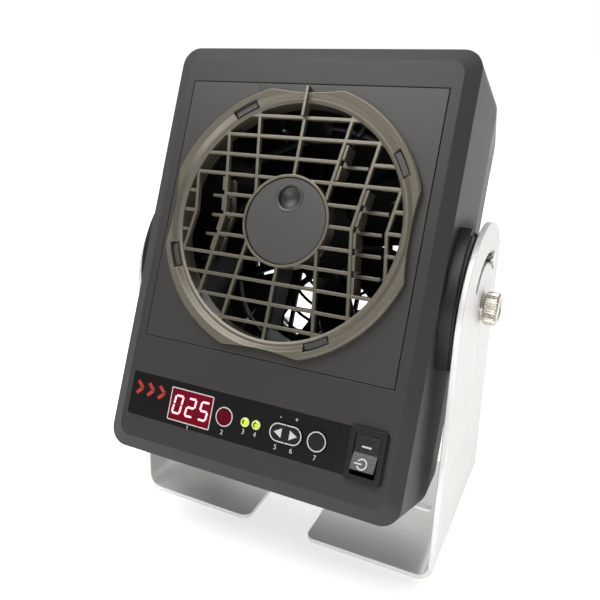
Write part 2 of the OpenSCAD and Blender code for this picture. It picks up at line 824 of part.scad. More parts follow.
module fan_frame() color(black) tilted() difference() {
    union() {
        slab(fan_depth, fan_back) translate([0, fan_up]) difference() {
            rounded_rect(fan_w, fan_w, 5);
            circle(fan_bore_r);
        }
        on_fan_axis(fan_back) linear_extrude(strut_t) {
            circle(fan_hub_r);
            for (a = [25:90:295]) rotate(a) translate([fan_hub_r - 1, -2]) square([fan_bore_r - fan_hub_r + 2, 4]);
        }
        on_fan_axis(fan_back) cylinder(r = tube_r, h = fan_t - 6);
    }
    on_fan_axis(fan_back - strut_t + 1) cylinder(r = bearing_r, h = fan_t);
    for (at = fan_spots) post(at, fan_screw_r + 0.15, fan_depth - 1, fan_back + 1);
}

module fan_screws() color(steel) tilted() for (at = fan_spots) {
    post(at, fan_screw_r, fan_depth - 10, fan_back + e);
    post(at, 1.75 * fan_screw_r, fan_back, fan_back + 2.2);
}

module fan_stator() color(copper) tilted() on_fan_axis(fan_back - strut_t - 2) linear_extrude(11) difference() {
    union() {
        circle(tube_r + 3);
        for (a = [0:90:270]) rotate(a) {
            translate([tube_r, -2]) square([8, 4]);
            arc_band(11.5, 14.5, -36, 36);
        }
    }
    circle(tube_r + 0.02);
}

module fan_bearings() color(steel) tilted() for (d = [fan_depth + 6.2, fan_back - strut_t - 2.6])
    on_fan_axis(d + 2.5) difference() {
        cylinder(r = bearing_r - 0.02, h = 2.5);
        translate([0, 0, -1]) cylinder(r = shaft_r + 0.03, h = 5);
    }

// One blade: a cambered strip from the hub to the tip, turned as it runs back
module blade() {
    steps = 6;
    camber = 5;
    thick = 1.6;
    length = blade_tip_r - fan_hub_r + 1;
    edge = [for (i = [0:steps]) let (t = i / steps) [fan_hub_r - 1 + length * t, camber * sin(180 * t)]];
    polygon(concat([for (p = edge) p + [0, thick / 2]],
        [for (i = [steps:-1:0]) edge[i] - [0, thick / 2]]));
}

module fan_rotor() color(black) tilted() {
    on_fan_axis() rotate_extrude() polygon([
        [shaft_r, -rotor_front], [fan_hub_r - 2, -rotor_front], [fan_hub_r, -rotor_front - 2],
        [fan_hub_r, -rotor_back], [fan_hub_r - 1.4, -rotor_back], [fan_hub_r - 1.4, -rotor_front - 2],
        [shaft_r + 2.5, -rotor_front - 2], [shaft_r + 2.5, -rotor_front - 3.6], [shaft_r, -rotor_front - 3.6]]);
    on_fan_axis(rotor_back) intersection() {
        linear_extrude(rotor_back - rotor_front - 0.5, twist = -blade_twist, slices = 10, $fn = hull_fn / 2)
            for (i = [0:blades - 1]) rotate(i * 360 / blades) blade();
        difference() {
            cylinder(r = blade_tip_r, h = fan_t);
            translate([0, 0, -1]) cylinder(r = fan_hub_r - 0.7, h = fan_t + 2);
        }
    }
}

module fan_magnet() color(steel) tilted() on_fan_axis(rotor_back - 1) difference() {
    cylinder(r = fan_hub_r - 1.42, h = 13);
    translate([0, 0, -1]) cylinder(r = fan_hub_r - 3.6, h = 15);
}

module fan_shaft() color(steel) tilted() on_fan_axis(fan_back - strut_t + 0.4)
    cylinder(r = shaft_r - 0.02, h = fan_back - strut_t + 0.4 - rotor_front - 0.2);

module rear_guard() color(black) tilted() difference() {
    union() {
        on_fan_axis(head_d - shell_t) linear_extrude(rear_guard_t) difference() {
            circle(rear_open_r + 4.5);
            circle(rear_open_r - 1.5);
        }
        on_fan_axis(head_d - 0.6) linear_extrude(rear_guard_t + shell_t - 0.6) difference() {
            circle(rear_open_r - loose);
            circle(rear_open_r - 2);
        }
        on_fan_axis(head_d - 0.6) linear_extrude(rear_guard_t) intersection() {
            circle(rear_open_r - 1);
            union() {
                for (i = [-4:4]) {
                    translate([i * 12.4, 0]) square([2, 2 * rear_open_r], center = true);
                    translate([0, i * 12.4]) square([2 * rear_open_r, 2], center = true);
                }
                for (a = [45, 135]) rotate(a) square([2 * rear_open_r, 3], center = true);
                circle(18);
            }
        }
    }
    for (a = [45:90:315]) on_fan_axis(head_d) rotate(a) translate([rear_open_r + 2.2, 0, 0])
        cylinder(r = 1.2 + fit, h = 12);
}

module rear_guard_screws() color(steel) tilted() for (a = [45:90:315])
    on_fan_axis(head_d + 1.1) rotate(a) translate([rear_open_r + 2.2, 0, 0]) {
        cylinder(r = 1.2, h = 7);
        cylinder(r = 2.2, h = 1.1);
    }

// ---- control strip ----

module control_strip() color(black) tilted() slab(0, strip_t) difference() {
    strip_outline(0);
    control_openings();
}

module display_window() color(display_red) tilted()
    slab(0.2, face_t + 0.2) translate(display_at) square(display_size, center = true);

module display_module() color(black) tilted()
    slab(face_t + 0.4, board_front) translate(display_at) square(display_size, center = true);

module ir_window() color(display_red) tilted() post(ir_at, ir_r, 0.2, face_t);

module ir_sensor() color(black) tilted() on_face(ir_at) rotate_extrude() polygon([[0, -board_front],
    [2.6, -board_front], [2.6, -face_t - 4], [1.8, -face_t - 2.4], [0, -face_t - 1.8]]);

module status_leds() color(lens_green) tilted() for (at = led_spots) on_face(at) rotate_extrude()
    polygon([[0, -board_front], [led_r, -board_front], [led_r, 0], [led_r * 0.7, 0.35], [0, 0.5]]);

module key(outer) {
    slab(-0.7, key_flange_front + 1) difference() {
        translate(keys_at) rounded_rect(keys_size[0], keys_size[1], keys_size[1] / 2 - e);
        translate(keys_at - [outer > 0 ? 50 : key_gap / 2, 20]) square([50 + key_gap / 2, 40]);
    }
    slab(key_flange_front, key_flange_front + 1) intersection() {
        translate(keys_at) rounded_rect(keys_size[0] + 1.6, keys_size[1] + 1.6, keys_size[1] / 2 + 0.7);
        translate(keys_at + [outer > 0 ? key_gap / 2 : -50, -20]) square([50 - key_gap / 2, 40]);
    }
    post(keys_at + [outer * keys_size[0] / 4, 0], 1.5, key_flange_front + 0.9, key_stem_back);
}

module key_left() color(black) tilted() key(-1);
module key_right() color(black) tilted() key(1);

module clean_button() color(black) tilted() {
    post(clean_at, clean_r, -0.7, key_flange_front + 1);
    post(clean_at, clean_r + 0.9, key_flange_front, key_flange_front + 1);
    post(clean_at, 1.5, key_flange_front + 0.9, key_stem_back);
}

module key_switches() color(steel) tilted()
    for (at = [keys_at - [keys_size[0] / 4, 0], keys_at + [keys_size[0] / 4, 0], clean_at])
        slab(tact_front, board_front) translate(at) square([5.6, 6], center = true);

module control_board() color(board_green) tilted() slab(board_front, board_front + board_t) difference() {
    translate(board_mid) square(board_size, center = true);
    for (at = board_spots) translate(at) circle(board_screw_r + fit);
}

module board_screws() color(steel) tilted() for (at = board_spots) {
    post(at, board_screw_r, board_front - 5, board_front + board_t + e);
    post(at, 2.2, board_front + board_t, board_front + board_t + 1.4);
}

// ---- power switch ----

module switch_frame() color(black) tilted() difference() {
    union() {
        slab(-2, 0) translate(switch_at) rounded_rect(switch_bezel[0], switch_bezel[1], 1);
        slab(-e, 17) translate(switch_at) square(switch_body, center = true);
    }
    slab(-3, 12) translate(switch_at) square(switch_pocket, center = true);
    translate([switch_at[0], rocker_depth - pivot_depth, switch_at[1]]) rotate([0, 90, 0])
        cylinder(r = 1.2 + fit, h = switch_pocket[0] + 0.9, center = true);
}

// Outline in height and outward distance from the rocker's own pivot, before it is tipped
module rocker_outline() {
    polygon([[-rocker_half, 6.9], [0, 5.5], [rocker_half, 6.9], [rocker_half, 3.4], [4.4, -1.6],
        [-4.4, -1.6], [-rocker_half, 3.4]]);
}

module switch_rocker() color(black) tilted()
    translate([switch_at[0], rocker_depth - pivot_depth, switch_at[1]]) rotate([-rocker_swing / 2, 0, 0]) {
        rotate([90, 0, 90]) translate([0, 0, -rocker_w / 2]) linear_extrude(rocker_w)
            rotate(90) rocker_outline();
        rotate([0, 90, 0]) cylinder(r = 1.2, h = switch_pocket[0] + 0.7, center = true);
    }

module switch_terminals() color(brass) tilted() for (v = [-6, 0, 6])
    slab(17, 24) translate(switch_at + [0, v]) square([4.8, 0.8], center = true);

// ---- power and high voltage ----

module hv_module() color(black) tilted()
    translate([-4 - hv_size[0], 16 - pivot_depth, floor_v]) cube(hv_size);

hv_lead_at = [-30, pin_depth + 8];

module hv_lead() color(lead_red) tilted() {
    x = hv_lead_at[0];
    ring_out = emitter_in + emitter_wall + 0.3;
    top = fan_up - sqrt(ring_out * ring_out - x * x);
    translate([x, hv_lead_at[1] - pivot_depth, floor_v + hv_size[2]]) {
        cylinder(r = 1.75, h = top - 2.6 - floor_v - hv_size[2]);
        cylinder(r = 3.2, h = 5);
    }
}

module power_board() color(board_green) tilted() {
    lift = floor_v + power_lift;
    translate([power_at[0], power_at[1] - pivot_depth, lift]) {
        cube([power_size[0], power_size[1], board_t]);
        translate([0, 0, board_t - e]) {
            translate([4, 4.5, 0]) cube(transformer_size);
            for (x = [34, 46]) translate([x, 8.5, 0]) cylinder(r = capacitor_r, h = capacitor_h);
            translate([32, 18.5, 0]) cube(terminal_size);
        }
    }
}

module power_inlet() color(black) tilted() difference() {
    union() {
        slab(head_d, head_d + inlet_wall_t) translate(inlet_at)
            rounded_rect(inlet_flange[0], inlet_flange[1], 2);
        slab(head_d - 20, head_d + e) translate(inlet_at) square(inlet_body, center = true);
    }
    slab(head_d - 15, head_d + inlet_wall_t + 1) translate(inlet_at) difference() {
        square(inlet_socket, center = true);
        for (s = [-1, 1]) translate([s * inlet_socket[0] / 2, inlet_socket[1] / 2]) rotate(45)
            square(6, center = true);
    }
}

module inlet_pins() color(brass) tilted() for (p = [[-7, -2], [0, 2], [7, -2]])
    slab(head_d - 15, head_d - 2) translate(inlet_at + p) square([2, 4], center = true);

module ground_screw() color(nickel) tilted() {
    post(ground_at, fan_screw_r, head_d - 8, head_d + e);
    post(ground_at, 5, head_d, head_d + 0.8);
    on_face(ground_at, head_d + 0.8 - e) rotate([0, 180, 0]) cylinder(r = 3.5, h = 2.6);
}

stand();
thumb_screw_left();
thumb_screw_right();
side_hub_left();
side_hub_right();
hub_screws();
pivot_inserts();
friction_washers();
guide_pins();
front_housing();
rear_cover();
case_screws();
fan_panel();
guard();
dial();
dial_screw();
brush_arm();
brush();
emitter_ring();
emitter_pins();
fan_frame();
fan_screws();
fan_stator();
fan_bearings();
fan_rotor();
fan_magnet();
fan_shaft();
rear_guard();
rear_guard_screws();
control_strip();
display_window();
display_module();
ir_window();
ir_sensor();
status_leds();
key_left();
key_right();
clean_button();
key_switches();
control_board();
board_screws();
switch_frame();
switch_rocker();
switch_terminals();
hv_module();
hv_lead();
power_board();
power_inlet();
inlet_pins();
ground_screw();
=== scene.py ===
"""Ionizing bench blower: a fan head that tilts on a bent steel stand.

Metres, X right, Y back, Z up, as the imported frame. The sections follow the blower as it is
put together: table and light, stand and its screws, head, guard, pin brush, fan, controls,
and the boards behind.
"""

import json
import math

import bmesh
import bpy
from mathutils import Matrix, Vector

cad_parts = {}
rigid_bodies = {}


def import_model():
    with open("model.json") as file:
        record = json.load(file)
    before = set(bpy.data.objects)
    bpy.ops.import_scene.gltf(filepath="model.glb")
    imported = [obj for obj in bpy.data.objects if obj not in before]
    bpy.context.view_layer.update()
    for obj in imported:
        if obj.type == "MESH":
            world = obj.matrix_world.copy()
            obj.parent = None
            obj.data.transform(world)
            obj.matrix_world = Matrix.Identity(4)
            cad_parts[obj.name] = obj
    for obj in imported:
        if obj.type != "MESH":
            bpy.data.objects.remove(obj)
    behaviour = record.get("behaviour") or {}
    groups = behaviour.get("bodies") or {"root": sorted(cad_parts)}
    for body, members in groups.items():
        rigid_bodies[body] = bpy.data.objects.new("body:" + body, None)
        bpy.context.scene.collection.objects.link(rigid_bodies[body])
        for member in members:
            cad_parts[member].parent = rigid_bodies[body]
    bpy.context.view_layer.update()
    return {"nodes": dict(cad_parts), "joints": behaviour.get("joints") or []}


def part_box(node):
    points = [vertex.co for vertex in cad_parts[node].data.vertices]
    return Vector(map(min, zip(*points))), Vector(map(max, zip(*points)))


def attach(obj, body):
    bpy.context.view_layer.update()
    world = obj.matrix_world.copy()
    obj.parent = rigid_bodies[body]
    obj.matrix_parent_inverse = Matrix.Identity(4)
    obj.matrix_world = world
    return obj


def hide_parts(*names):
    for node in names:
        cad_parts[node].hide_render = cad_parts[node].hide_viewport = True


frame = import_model()
cad = frame["nodes"]

# ---------------------------------------------------------------------------------------
# Camera: in front of the blower, to its right and above the fan, looking down at it.

camera = bpy.data.objects.new("camera", bpy.data.cameras.new("camera"))
camera.data.sensor_width = 36
camera.data.lens = 39.06
camera.matrix_world = (
    Matrix.Translation((0.13226, -0.29574, 0.24484))
    @ Matrix.Rotation(math.radians(26.23), 4, "Z")
    @ Matrix.Rotation(math.radians(90 - 22.66), 4, "X")
    @ Matrix.Rotation(math.radians(-0.56), 4, "Z")
)
bpy.context.scene.collection.objects.link(camera)
bpy.context.scene.camera = camera

# ---------------------------------------------------------------------------------------
# Table and light: a white table top in a white room that is darker behind the camera, with
# a soft panel over the blower, a low one in front, and a long low one behind it.


def set_inputs(node, values):
    """Sets a node's inputs, each to a value or to another node's output."""
    for name, value in values.items():
        if isinstance(value, bpy.types.NodeSocket):
            node.id_data.links.new(value, node.inputs[name])
        else:
            node.inputs[name].default_value = value


def add(tree, kind, inputs=None, **settings):
    """A new node, with its inputs and settings."""
    made = tree.nodes.new("ShaderNode" + kind)
    for name, value in settings.items():
        setattr(made, name, value)
    set_inputs(made, inputs or {})
    return made


def shader_of(material):
    """The shader that a material's other nodes feed."""
    return material.node_tree.nodes["Principled BSDF"]


def new_material(name, colour, roughness, metallic=0.0):
    """A material, its node tree and its shader."""
    material = bpy.data.materials.new(name)
    material.use_nodes = True
    material.diffuse_color = (*colour, 1)
    shader = shader_of(material)
    set_inputs(
        shader, {"Base Color": (*colour, 1), "Roughness": roughness, "Metallic": metallic}
    )
    return material, material.node_tree, shader


def ranged(tree, amount, low, high, start=0.3, stop=0.7):
    """A number from low to high, as the amount goes from start to stop."""
    spread = add(
        tree,
        "MapRange",
        {"Value": amount, "From Min": start, "From Max": stop, "To Min": low, "To Max": high},
    )
    return spread.outputs["Result"]


def new_object(name, shape, material):
    """Makes a bmesh into an object of one material."""
    made = bpy.data.objects.new(name, bpy.data.meshes.new(name))
    shape.to_mesh(made.data)
    shape.free()
    made.data.materials.append(material)
    bpy.context.scene.collection.objects.link(made)
    return made


white = (1, 1, 1, 1)
table_white, _, shader = new_material("table_white", (0.86, 0.86, 0.855), 0.55)
set_inputs(shader, {"Emission Color": white, "Emission Strength": 0.55})
shape = bmesh.new()
bmesh.ops.create_circle(shape, cap_ends=True, radius=6, segments=64)
table = new_object("table_top", shape, table_white)

# A white backdrop all round, which is seen but lights nothing and isn't reflected
backdrop_white, _, shader = new_material("backdrop_white", (0, 0, 0), 1.0)
set_inputs(shader, {"Specular IOR Level": 0, "Emission Color": white, "Emission Strength": 1})
shape = bmesh.new()
bmesh.ops.create_uvsphere(shape, u_segments=64, v_segments=32, radius=9)
backdrop = new_object("backdrop", shape, backdrop_white)
for ray in ("diffuse", "glossy", "transmission", "volume_scatter", "shadow"):
    setattr(backdrop, "visible_" + ray, False)

room = bpy.data.worlds.new("white_room")
room.use_nodes = True
tree = room.node_tree
way = add(tree, "SeparateXYZ", {0: add(tree, "TexCoord").outputs["Generated"]})
dimmed = ranged(tree, way.outputs["Y"], 0.16, 1.0, -0.45, 0.6)
set_inputs(tree.nodes["Background"], {"Color": (1, 1, 0.995, 1), "Strength": dimmed})
bpy.context.scene.world = room
bpy.context.scene.view_settings.view_transform = "Standard"

blower_middle = Vector((0, 0, 0.12))
for name, place, width, height, power in (
    ("panel_above", (-0.16, -0.25, 0.72), 0.5, 0.5, 4.6),
    ("panel_front", (0.22, -1.0, 0.14), 0.5, 0.4, 3.6),
    ("panel_behind", (-0.35, 0.8, 0.11), 1.1, 0.2, 2.0),
):
    light = bpy.data.objects.new(name, bpy.data.lights.new(name, "AREA"))
    light.data.shape = "RECTANGLE"
    light.data.size = width
    light.data.size_y = height
    light.data.energy = power
    light.location = place
    light.rotation_euler = (blower_middle - Vector(place)).to_track_quat("-Z", "Y").to_euler()
    bpy.context.scene.collection.objects.link(light)

# ---------------------------------------------------------------------------------------
# Stand: one strip of 2.5 mm stainless sheet, bent up into two arms, its feet cut out and
# its edges deburred. The sheet is satin ground along the strip, up one arm and down the other.


def edge_light(tree, radius):
    """Rounded shading over a piece's edges, and a mask that is 1 where they are."""
    rounded = add(tree, "Bevel", {"Radius": radius}, samples=6)
    flat = add(tree, "NewGeometry")
    turn = add(
        tree,
        "VectorMath",
        {0: rounded.outputs["Normal"], 1: flat.outputs["Normal"]},
        operation="DOT_PRODUCT",
    )
    mask = ranged(tree, turn.outputs["Value"], 0.0, 1.0, 0.995, 0.75)
    return rounded.outputs["Normal"], mask


def noise(tree, scale, detail, **more):
    """Noise of 0 to 1 that is fixed to the piece."""
    place = add(tree, "TexCoord").outputs["Object"]
    inputs = {"Vector": place, "Scale": scale, "Detail": detail, **more}
    return add(tree, "TexNoise", inputs).outputs["Fac"]


def grain_along(tree, stretch):
    """Fine scratches of noise, drawn out by the stretch given for X, Y and Z."""
    place = add(tree, "TexCoord").outputs["Object"]
    drawn = add(tree, "Mapping", {"Vector": place, "Scale": stretch}).outputs["Vector"]
    inputs = {"Vector": drawn, "Scale": 1.0, "Detail": 4.0, "Roughness": 0.7}
    return add(tree, "TexNoise", inputs).outputs["Fac"]


def blended(tree, amount, low, high):
    """A number between two, by an amount of 0 to 1. Inputs 2 and 3 take the numbers."""
    return add(tree, "Mix", {0: amount, 2: low, 3: high}, data_type="FLOAT").outputs[0]


def mixed(tree, amount, low, high):
    """A colour between two, by an amount of 0 to 1. Each is a colour or a node's output, and
    inputs 6 and 7 take them."""
    low, high = (
        colour if isinstance(colour, bpy.types.NodeSocket) else (*colour, 1)
        for colour in (low, high)
    )
    return add(tree, "Mix", {0: amount, 6: low, 7: high}, data_type="RGBA").outputs[2]


def bumped(shader, height, distance, **more):
    """Gives a shader a bump of up to the distance given."""
    bump = add(shader.id_data, "Bump", {"Height": height, "Distance": distance, **more})
    set_inputs(shader, {"Normal": bump.outputs["Normal"]})


satin_steel, tree, shader = new_material("satin_steel", (0.80, 0.80, 0.785), 0.5, 0.72)
edges, edge_mask = edge_light(tree, 0.0007)
across_grain, along_grain = 900, 14
up_grain = grain_along(tree, (across_grain, across_grain, along_grain))
flat_grain = grain_along(tree, (along_grain, across_grain, across_grain))
facing = add(tree, "SeparateXYZ", {0: add(tree, "NewGeometry").outputs["Normal"]})
level = add(tree, "Math", {0: facing.outputs["Z"]}, operation="ABSOLUTE").outputs[0]
grain = blended(tree, level, up_grain, flat_grain)
smudges = noise(tree, 28.0, 3.0)
tone = add(tree, "Math", {0: grain, 1: smudges}, operation="MULTIPLY").outputs[0]
pale = ranged(tree, tone, 0, 1, 0.12, 0.4)
rough = ranged(tree, smudges, 0.46, 0.58)
set_inputs(
    shader,
    {
        "Base Color": mixed(tree, pale, (0.71, 0.705, 0.685), (0.80, 0.80, 0.785)),
        "Roughness": blended(tree, edge_mask, rough, 0.18),
    },
)
bumped(shader, grain, 0.00002, Strength=0.35, Normal=edges)


def dress(material, *names):
    """Gives CAD nodes their finish."""
    for name in names:
        slots = cad[name].material_slots
        if not slots:
            cad[name].data.materials.append(material)
        for slot in slots:
            slot.material = material


dress(satin_steel, "stand")

# ---------------------------------------------------------------------------------------
# Thumb screws: turned and nickel plated, with a straight knurl between a neck and a
# bevelled end. They go through the arms into brass inserts in the head.


def make_piece(name, shape, place, material, body):
    """Makes a bmesh into a piece, in its place and finish, that rides on a body."""
    shape.transform(place)
    bmesh.ops.remove_doubles(shape, verts=shape.verts, dist=1e-6)
    bmesh.ops.recalc_face_normals(shape, faces=shape.faces)
    piece = new_object(name, shape, material)
    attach(piece, body)
    return piece


def turned(profile, steps):
    """A closed turned shape in millimetres. The profile gives (radius, height) pairs."""
    shape = bmesh.new()
    ring = [shape.verts.new((radius, 0, height)) for radius, height in profile]
    line = [shape.edges.new(pair) for pair in zip(ring, ring[1:])]
    bmesh.ops.spin(
        shape,
        geom=ring + line,
        cent=(0, 0, 0),
        axis=(0, 0, 1),
        angle=2 * math.pi,
        steps=steps,
        use_merge=True,
    )
    return shape


nickel, tree, shader = new_material("nickel", (0.74, 0.71, 0.655), 0.2, 1.0)
edges, _ = edge_light(tree, 0.0002)
lathe = noise(tree, 900.0, 5.0)
set_inputs(
    shader,
    {
        "Base Color": mixed(tree, lathe, (0.50, 0.465, 0.41), (0.66, 0.63, 0.575)),
        "Roughness": ranged(tree, lathe, 0.14, 0.30),
    },
)
bumped(shader, lathe, 0.00001, Strength=0.3, Normal=edges)

# Lengths of the screws are in millimetres
ridges = 42
ridge_depth = 0.45
thread_r = 2.5
thread_pitch = 0.8
thread_depth = 0.35
tip_bevel = 0.6
arm_clearance = 0.1
# The knob beside its knurl, towards the arm and at its end: how far in, and how far along
neck_outline = ((1.6, 0), (1.6, 1.0), (0.6, 1.4), (0, 2.0))
end_outline = ((0, 1.1), (0.9, 0), (2.2, 0), (2.6, 0.5))
joints = {joint["name"]: joint for joint in frame["joints"]}
for side, name in ((1, "thumb_screw_right"), (-1, "thumb_screw_left")):
    low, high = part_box(name)
    tip, end = sorted((abs(low.x) * 1000, abs(high.x) * 1000))
    knob_r = (high.z - low.z) * 500
    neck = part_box("stand")[1].x * 1000 + arm_clearance
    profile = [(0, tip), (thread_r - tip_bevel, tip)]
    for turn in range(int((neck - tip - 2 * tip_bevel) / thread_pitch)):
        foot = tip + tip_bevel + turn * thread_pitch
        profile += [(thread_r - thread_depth, foot), (thread_r, foot + thread_pitch / 2)]
    profile.append((thread_r - thread_depth, neck))
    profile += [(knob_r - inward, neck + along) for inward, along in neck_outline]
    profile += [(knob_r - inward, end - along) for inward, along in end_outline]
    profile.append((0, profile[-1][1]))
    shape = turned(profile, 2 * ridges)
    crest = [v for v in shape.verts if v.co.xy.length > knob_r - ridge_depth / 2]
    for vert in crest:
        spot = round(math.atan2(vert.co.y, vert.co.x) / (math.pi / ridges))
        if spot % 2:
            vert.co.xy *= 1 - ridge_depth / knob_r
    axis_height = (low.z + high.z) / 2
    make_piece(
        name.replace("thumb_screw", "knurled_screw"),
        shape,
        Matrix.Translation((0, 0, axis_height))
        @ Matrix.Scale(0.001, 4)
        @ Matrix.Rotation(side * math.pi / 2, 4, "Y"),
        nickel,
        name,
    )
    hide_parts(name)

# ---------------------------------------------------------------------------------------
# Head shells: a deep front housing and a rear cover, moulded in dark grey ABS with a fine
# spark-eroded texture, and held together by four long screws from behind.


def moulded(name, colour, roughness, grain_size, grain_height, edge=0.0004, gloss=0.5):
    """Moulded plastic: eroded texture, slight flow marks, and smoother edges, paler partly for
    wear and partly as a painted highlight. The grain and the edge are in metres, and the gloss
    is how strongly it reflects."""
    tint = 0.12
    material, tree, shader = new_material(name, colour, roughness)
    edges, edge_mask = edge_light(tree, edge)
    grain = noise(tree, 1 / grain_size, 3.0, Roughness=0.6)
    flow = noise(tree, 24.0, 4.0)
    darker = [c * (1 - tint) for c in colour]
    lighter = [c * (1 + tint) for c in colour]
    # Paler edges: partly wear, partly a painted highlight where edges would catch the light
    worn_and_highlit = [min(1, c * 1.25 + 0.004) for c in colour]
    rough = ranged(tree, grain, roughness - 0.06, roughness + 0.08)
    set_inputs(
        shader,
        {
            "Base Color": mixed(tree, edge_mask, mixed(tree, flow, darker, lighter), worn_and_highlit),
            "Roughness": blended(tree, edge_mask, rough, roughness - 0.1),
            "Specular IOR Level": gloss,
        },
    )
    bumped(shader, grain, grain_height, Strength=0.5, Normal=edges)
    return material


housing_plastic = moulded(
    "housing_plastic", (0.033, 0.0305, 0.0296), 0.46, 0.0004, 0.00006, edge=0.0006, gloss=0.27
)
dress(housing_plastic, "front_housing", "rear_cover")


def plated(name, colour, roughness):
    """Plated or bare metal with a faintly mottled surface and softened edges."""
    material, tree, shader = new_material(name, colour, roughness, 1.0)
    edges, _ = edge_light(tree, 0.00015)
    mottle = noise(tree, 700.0, 4.0)
    low = [c * 0.85 for c in colour]
    high = [min(1, c * 1.1) for c in colour]
    set_inputs(
        shader,
        {
            "Base Color": mixed(tree, mottle, low, high),
            "Roughness": ranged(tree, mottle, roughness - 0.08, roughness + 0.1),
        },
    )
    bumped(shader, mottle, 0.00001, Strength=0.4, Normal=edges)
    return material


zinc_steel = plated("zinc_steel", (0.60, 0.60, 0.62), 0.3)
dress(zinc_steel, "case_screws")

# ---------------------------------------------------------------------------------------
# Tilt joint: black nylon hubs screwed to the head's sides, with brass inserts for the thumb
# screws, thin nylon washers, and nickel guide pins that run in the arms' curved slots.

hub_plastic = moulded(
    "hub_plastic", (0.007, 0.0065, 0.006), 0.42, 0.0005, 0.00005, gloss=0.35
)
dress(hub_plastic, "side_hub_left", "side_hub_right")
brass = plated("brass", (0.76, 0.58, 0.28), 0.28)
dress(zinc_steel, "hub_screws")
dress(brass, "pivot_inserts")
dress(nickel, "guide_pins")
washer_nylon = moulded("washer_nylon", (0.02, 0.02, 0.02), 0.35, 0.0008, 0.00003)
dress(washer_nylon, "friction_washers")

# ---------------------------------------------------------------------------------------
# Fan panel, guard and dial: the guard is a bayonet ring of plastic in a warm metallic grey,
# with level and chevron bars, turned into the square panel. A round dial in its middle works
# the pin brush.

panel_plastic = moulded(
    "panel_plastic", (0.0315, 0.0298, 0.0282), 0.44, 0.0004, 0.00006, gloss=0.4
)
dress(panel_plastic, "fan_panel")
guard_plastic = moulded(
    "guard_plastic", (0.132, 0.116, 0.090), 0.33, 0.0006, 0.00003, edge=0.0006, gloss=0.6
)
set_inputs(shader_of(guard_plastic), {"Metallic": 0.5})
dress(guard_plastic, "guard")
dial_plastic = moulded("dial_plastic", (0.042, 0.041, 0.038), 0.42, 0.0004, 0.00005)
dress(dial_plastic, "dial")
black_plastic = moulded(
    "black_plastic", (0.008, 0.008, 0.008), 0.40, 0.0006, 0.00004, gloss=0.3
)
dress(black_plastic, "brush_arm")
dress(zinc_steel, "dial_screw")

# Places on the front of the head are in millimetres from the tilt axis, across and up its face
fan_axis = Vector(joints["guard_turn"]["axis"])
up_face = Vector((0, fan_axis.z, -fan_axis.y))
tilt_axis = Vector(joints["head_tilt"]["pos_m"])
fan_front = Vector(joints["guard_turn"]["pos_m"])
fan_up = (fan_front - tilt_axis).dot(up_face)
face_turn = Matrix((Vector((1, 0, 0)), up_face, fan_axis)).transposed().to_4x4()
head_face = (
    Matrix.Translation(fan_front - up_face * fan_up) @ face_turn @ Matrix.Scale(0.001, 4)
)


def at_face(across, up, proud=0.0):
    """A place on the front face, for shapes in millimetres."""
    return head_face @ Matrix.Translation((across, up, proud))


def thicken(shape, height, up=Vector((0, 0, 1))):
    """Raises a flat shape into a closed plate."""
    made = bmesh.ops.extrude_face_region(shape, geom=list(shape.faces))
    raised = [g for g in made["geom"] if isinstance(g, bmesh.types.BMVert)]
    bmesh.ops.translate(shape, verts=raised, vec=up * height)


def bar(shape, start, stop, width):
    """Adds a flat bar between two points."""
    start, stop = Vector((*start, 0)), Vector((*stop, 0))
    run = stop - start
    made = bmesh.ops.create_grid(shape, x_segments=1, y_segments=1, size=0.5)
    place = (
        Matrix.Translation((start + stop) / 2)
        @ Matrix.Rotation(math.atan2(run.y, run.x), 4, "Z")
        @ Matrix.Diagonal((run.length, width, 1, 1))
    )
    bmesh.ops.transform(shape, matrix=place, verts=made["verts"])


def arc(shape, inner, outer, middle, half, centre=(0, 0), steps=16):
    """Adds a flat piece of a ring, which reaches half an angle to each side of the middle
    one. Angles are in degrees."""
    hub = Vector((*centre, 0))
    start = Matrix.Rotation(math.radians(middle - half), 3, "Z")
    ends = [shape.verts.new(hub + start @ Vector((radius, 0, 0))) for radius in (inner, outer)]
    bmesh.ops.spin(
        shape,
        geom=ends + [shape.edges.new(ends)],
        cent=hub,
        axis=(0, 0, 1),
        angle=math.radians(2 * half),
        steps=steps,
    )
    bmesh.ops.remove_doubles(shape, verts=shape.verts, dist=1e-4)


# Grip pads: grey rubber set in each pocket of the ring, for the fingertips, over a black plate
# of painted shade that fills the pocket and shows as a dark gap round each pad
pocket_middles = (31, 121, 203, 297)
# Painted shade: the black plate under each pad stands for the shade in its pocket
pocket_shade_black = moulded("pocket_shade_black", (0.005, 0.005, 0.005), 0.6, 0.0004, 0.00001, gloss=0.2)
pad_grey = moulded("pad_grey", (0.036, 0.035, 0.031), 0.5, 0.0004, 0.00003)
for name, inner, outer, half, floor, height, finish in (
    ("pad_beds", 56.4, 60.25, 6.15, 1.38, 0.09, pocket_shade_black),
    ("grip_pads", 57.0, 59.6, 5.4, 1.46, 0.25, pad_grey),
):
    shape = bmesh.new()
    for middle in pocket_middles:
        arc(shape, inner, outer, middle, half)
    thicken(shape, height)
    place = at_face(0, fan_up * 1000, floor)
    make_piece(name, shape, place, finish, "guard")

# The lock arrow cut into the panel, left of the top of the ring: a thin dark plate of painted
# shade stands for its groove
groove_shade_dark = moulded("groove_shade_dark", (0.012, 0.0115, 0.011), 0.6, 0.0004, 0.00002)
lock_half, lock_tip, lock_line, lock_proud = 1.7, -1.6, 0.42, 0.04
shape = bmesh.new()
for side in (-1, 1):
    bar(shape, (side * lock_half, lock_half), (0, lock_tip), lock_line)
thicken(shape, lock_proud)
make_piece("lock_arrow", shape, at_face(-25.2, 81.5), groove_shade_dark, "head")

# ---------------------------------------------------------------------------------------
# Pin brush: nylon bristles set in the end of the arm that the dial turns. As the dial goes
# round, they wipe the dust off the emitter pins.


